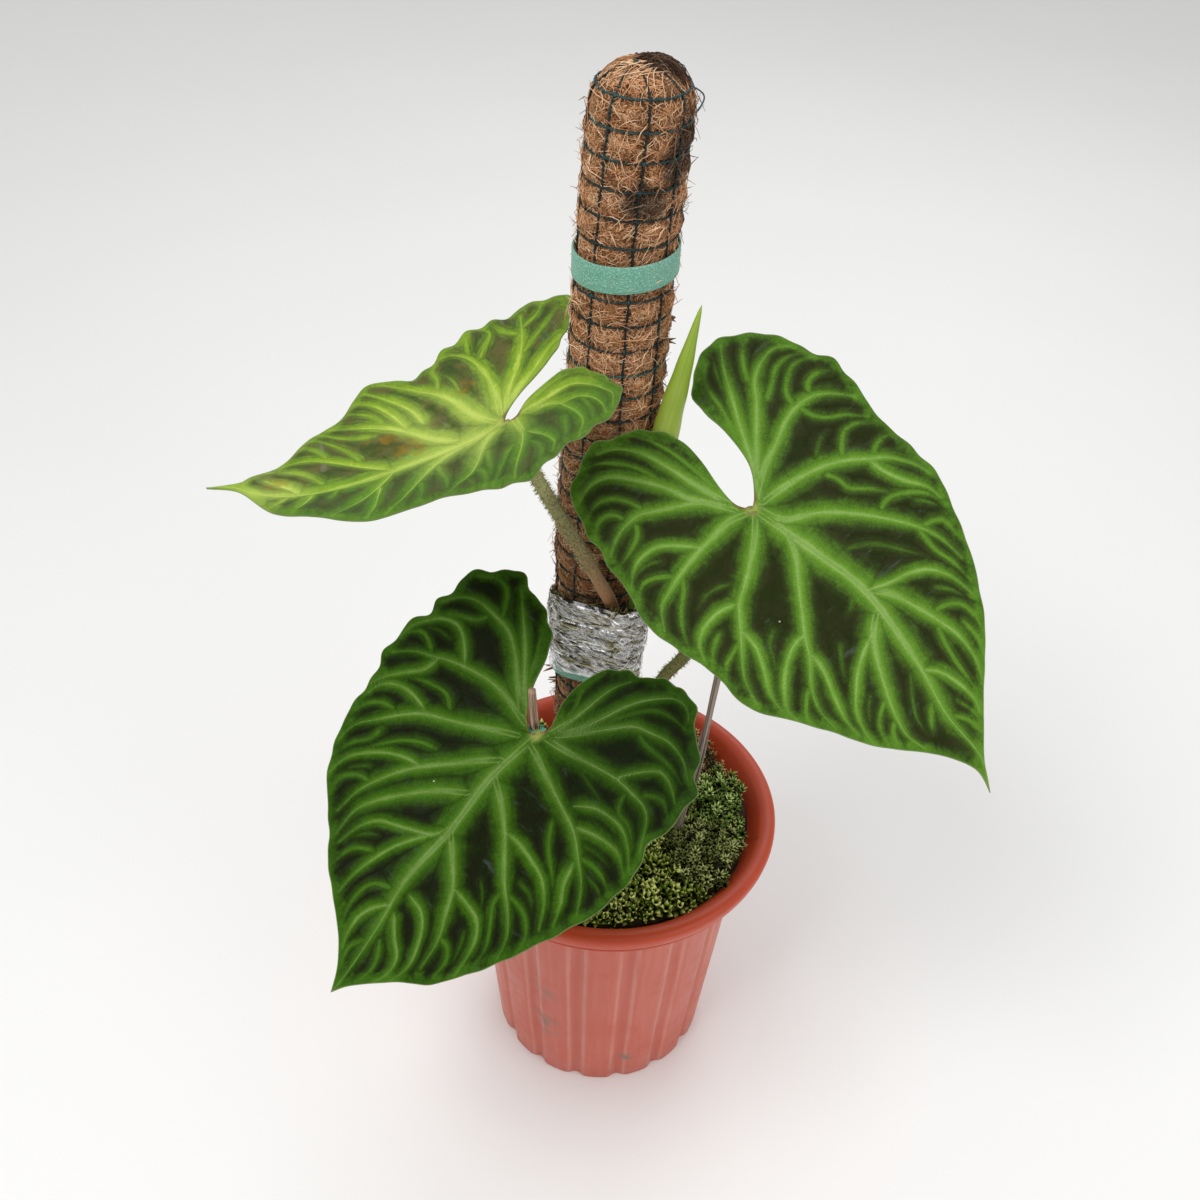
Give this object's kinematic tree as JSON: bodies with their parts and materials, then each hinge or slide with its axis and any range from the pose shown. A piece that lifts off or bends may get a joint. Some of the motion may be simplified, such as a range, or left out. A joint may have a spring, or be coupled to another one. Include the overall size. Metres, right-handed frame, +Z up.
{
  "type": "potted philodendron verrucosum",
  "caption": "Climbing house plant with large heart-shaped velvety leaves and a rolled new leaf, tied to a net-wrapped fibre pole in a fluted round pot.",
  "frame": {"origin": "centre of the pot's flat base, at the height of the surface it stands on", "axes": "+Z up along the pole, -Y towards the front that the leaves' faces are seen from, +X to the right of someone who looks at the front"},
  "size_m": [0.3116, 0.2314, 0.5235],
  "materials": {
    "pot_plastic": "satin, faintly scuffed and faded on the body",
    "potting_mix": "loose, damp and matt",
    "live_moss": "matt, finely tufted",
    "coir": "matt, long curved fibres",
    "net_cord": "satin twisted cord",
    "strap_weave": "matt weave",
    "dry_moss": "matt straw-like fibres",
    "clear_film": "translucent, creased and glossy",
    "stem_skin": "satin",
    "leaf_high_velvet": "velvety, pale veins, bristly stalk",
    "leaf_right_velvet": "velvety, pale veins, bristly stalk",
    "leaf_low_velvet": "velvety, pale veins, bristly stalk",
    "new_leaf_skin": "satin, finely hairy",
    "cane_weathered": "matt, split lengthwise",
    "cane_pale": "matt, split lengthwise"
  },
  "bodies": {
    "root": {"pot": "pot_plastic", "soil": "potting_mix", "moss_mat": "live_moss", "coir_pole": "coir", "pole_net": "net_cord", "strap_upper": "strap_weave", "strap_lower": "strap_weave", "sphagnum_wad": "dry_moss", "wrap_film": "clear_film", "stem": "stem_skin", "leaf_high": "leaf_high_velvet", "leaf_right": "leaf_right_velvet", "leaf_low": "leaf_low_velvet", "new_leaf": "new_leaf_skin", "cane_right": "cane_weathered", "cane_left": "cane_pale", "tie_low": "strap_weave"}
  },
  "joints": []
}
